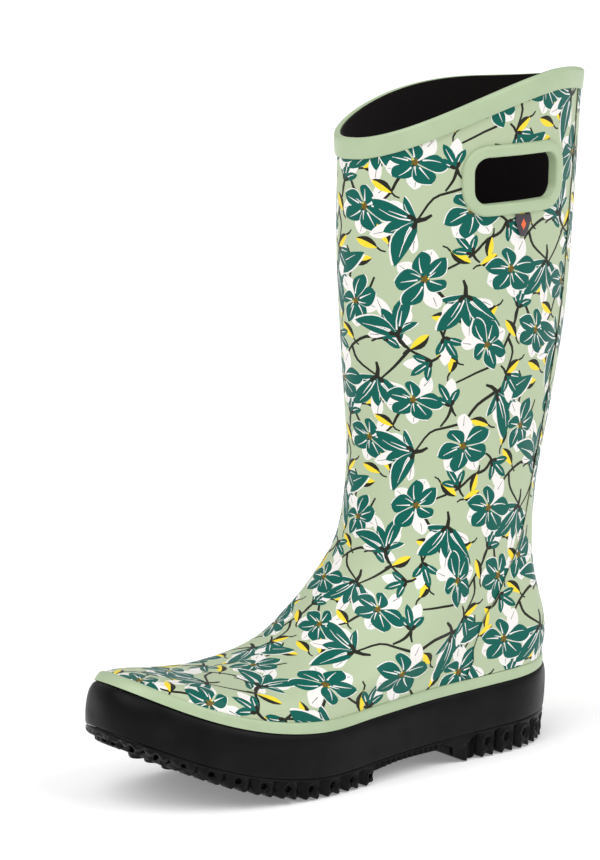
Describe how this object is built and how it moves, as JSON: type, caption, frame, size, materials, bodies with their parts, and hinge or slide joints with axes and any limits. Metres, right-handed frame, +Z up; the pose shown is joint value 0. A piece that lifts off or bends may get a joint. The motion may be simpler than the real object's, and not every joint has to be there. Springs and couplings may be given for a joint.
{
  "type": "rubber rain boot",
  "caption": "Left pull-on rubber rain boot with a printed leg, bound slanted rim, a pull handle opening on each side, black foxed sole and lugged tread.",
  "frame": {"origin": "on the ground, under the centre of the boot's overall box", "axes": "+Z up, -Y towards the toe, +X towards the outer side of the left foot"},
  "size_m": [0.1085, 0.3152, 0.3776],
  "materials": {
    "black_rubber": "matte moulded rubber with a soft sheen on the band and lugged tread",
    "trim_rubber": "smooth light green rubber, low sheen",
    "printed_rubber": "smooth matte rubber printed with a repeating blossom pattern in green, white, black and yellow",
    "label_rubber": "small dark moulded tab with a plain orange mark",
    "lining_textile": "very dark knitted textile",
    "foam_rubber": "soft foam rubber",
    "stiffener": "rubber-soaked canvas",
    "sponge": "sponge rubber",
    "board": "pressed fibre board",
    "steel": "plain steel strip",
    "footbed_foam": "moulded foam",
    "footbed_cloth": "knitted cloth"
  },
  "bodies": {
    "boot": {"outsole": "black_rubber", "midsole_filler": "sponge", "shank": "steel", "lasting_board": "board", "sidewall_band": "black_rubber", "rand_strip": "trim_rubber", "upper_shell": "printed_rubber", "back_stay": "printed_rubber", "topline_binding": "trim_rubber", "handle_frame_lateral": "trim_rubber", "handle_frame_medial": "trim_rubber", "handle_facing_lateral": "lining_textile", "handle_facing_medial": "lining_textile", "side_label": "label_rubber", "toe_puff": "stiffener", "quarter_patch_lateral": "stiffener", "quarter_patch_medial": "stiffener", "heel_counter": "stiffener", "neoprene_bootie": "foam_rubber", "textile_lining": "lining_textile", "lining_seam_tape": "lining_textile"},
    "removable_footbed": {"footbed": "footbed_foam", "footbed_cover": "footbed_cloth"}
  },
  "joints": [
    {"name": "footbed_lift", "type": "hinge", "parent": "boot", "child": "removable_footbed", "pos_m": [0, -0.1444, 0.0552], "axis": [1, 0, 0], "range_deg": [0, 7]}
  ]
}
